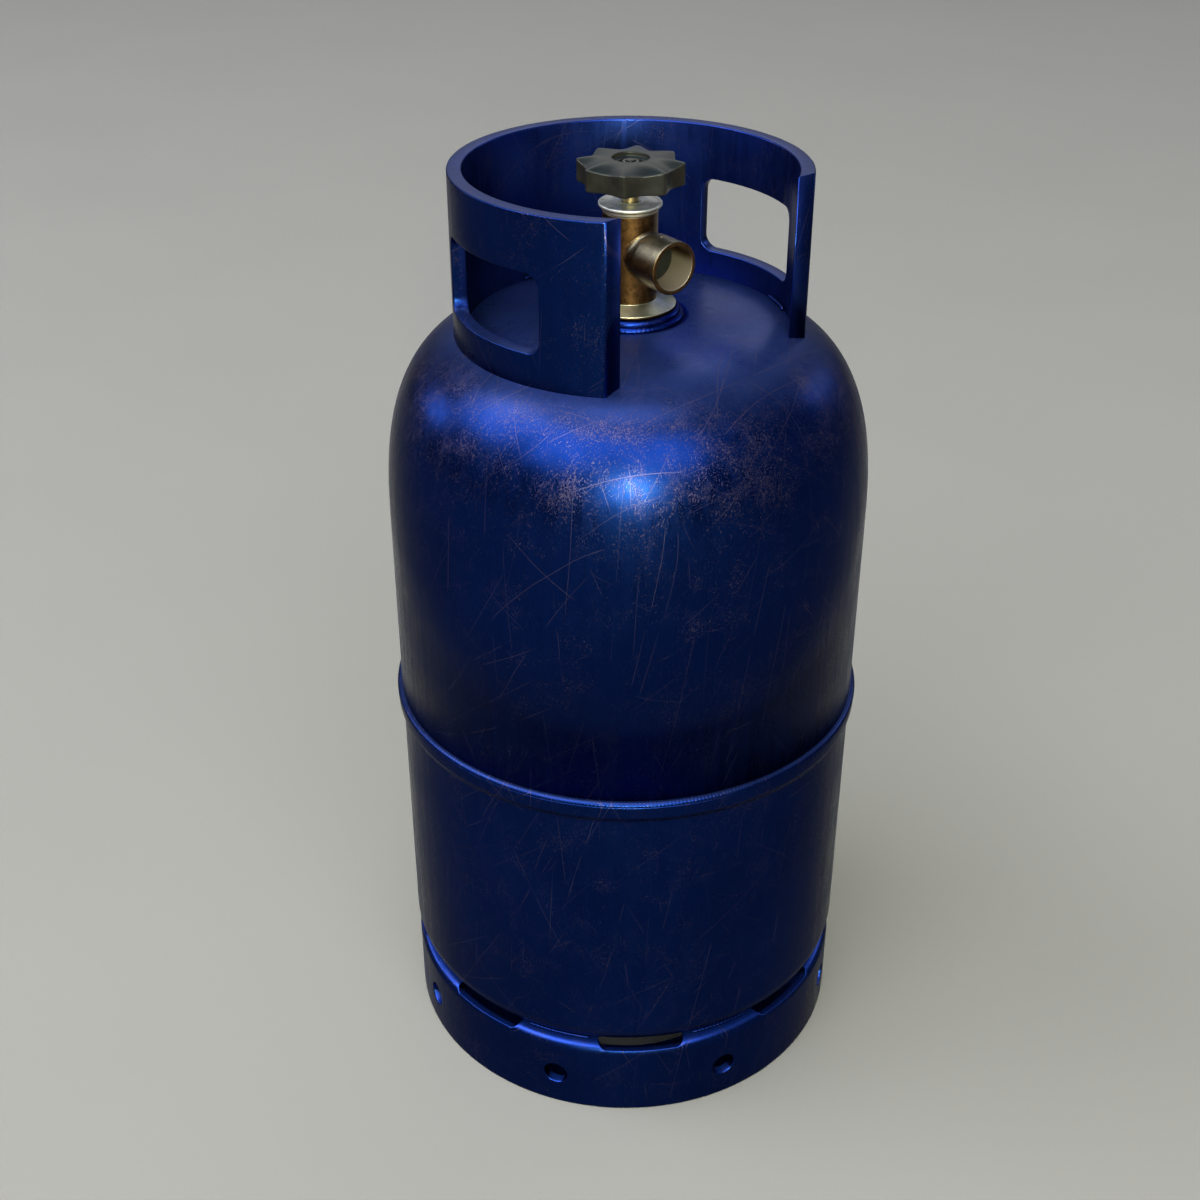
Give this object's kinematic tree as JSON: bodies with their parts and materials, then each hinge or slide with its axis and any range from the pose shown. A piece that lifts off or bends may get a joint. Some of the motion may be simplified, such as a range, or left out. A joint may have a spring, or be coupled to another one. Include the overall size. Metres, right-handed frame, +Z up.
{
  "type": "propane tank",
  "caption": "Refillable steel propane tank with a guard collar, a foot ring with drain holes and a brass valve with a lobed handwheel and a side outlet.",
  "frame": {"origin": "centre of the base on the cylinder's axis, at the plane that the foot ring stands on", "axes": "+Z up along the cylinder's axis; -Y towards the open side of the collar, where the outlet points; +X and -X towards the two hand holes"},
  "size_m": [0.3106, 0.3106, 0.6156],
  "materials": {
    "blue_paint": "glossy metallic deep blue enamel with fine scratches and flake wear",
    "brass_body": "rough forged brass, aged to copper brown",
    "brass_bonnet": "smooth machined brass, dulled to pale olive",
    "brass_spindle": "turned bright brass",
    "wheel_plastic": "moulded dark grey plastic with a soft sheen",
    "plated_steel": "zinc-plated steel",
    "seal_rubber": "dark blue-grey moulded rubber",
    "washer_plastic": "off-white nylon"
  },
  "bodies": {
    "tank": {"upper_shell": "blue_paint", "lower_shell": "blue_paint", "girth_weld": "blue_paint", "valve_boss": "blue_paint", "boss_weld": "blue_paint", "collar": "blue_paint", "collar_weld_1": "blue_paint", "collar_weld_2": "blue_paint", "collar_weld_3": "blue_paint", "collar_weld_4": "blue_paint", "collar_weld_5": "blue_paint", "foot_ring": "blue_paint", "foot_weld_1": "blue_paint", "foot_weld_2": "blue_paint", "foot_weld_3": "blue_paint", "foot_weld_4": "blue_paint", "foot_weld_5": "blue_paint", "foot_weld_6": "blue_paint", "foot_weld_7": "blue_paint", "foot_weld_8": "blue_paint", "valve_body": "brass_body", "outlet_seal": "seal_rubber", "bonnet": "brass_bonnet"},
    "spindle": {"spindle": "brass_spindle", "spindle_o_ring": "seal_rubber", "thrust_washer": "washer_plastic", "handwheel": "wheel_plastic", "wheel_bush": "plated_steel", "wheel_washer": "plated_steel", "wheel_nut": "plated_steel"},
    "plug": {"plug": "brass_spindle", "seat_disc": "washer_plastic"}
  },
  "joints": [
    {"name": "handwheel_turn", "type": "hinge", "parent": "tank", "child": "spindle", "pos_m": [0, 0, 0.59], "axis": [0, 0, 1], "range_deg": [0, 720]},
    {"name": "plug_lift", "type": "slide", "parent": "spindle", "child": "plug", "axis": [0, 0, 1], "range_m": [0, 0.0031]}
  ],
  "couplings": [
    {"joint": "plug_lift", "follows": "handwheel_turn", "m_per_rad": 0.00023873}
  ]
}
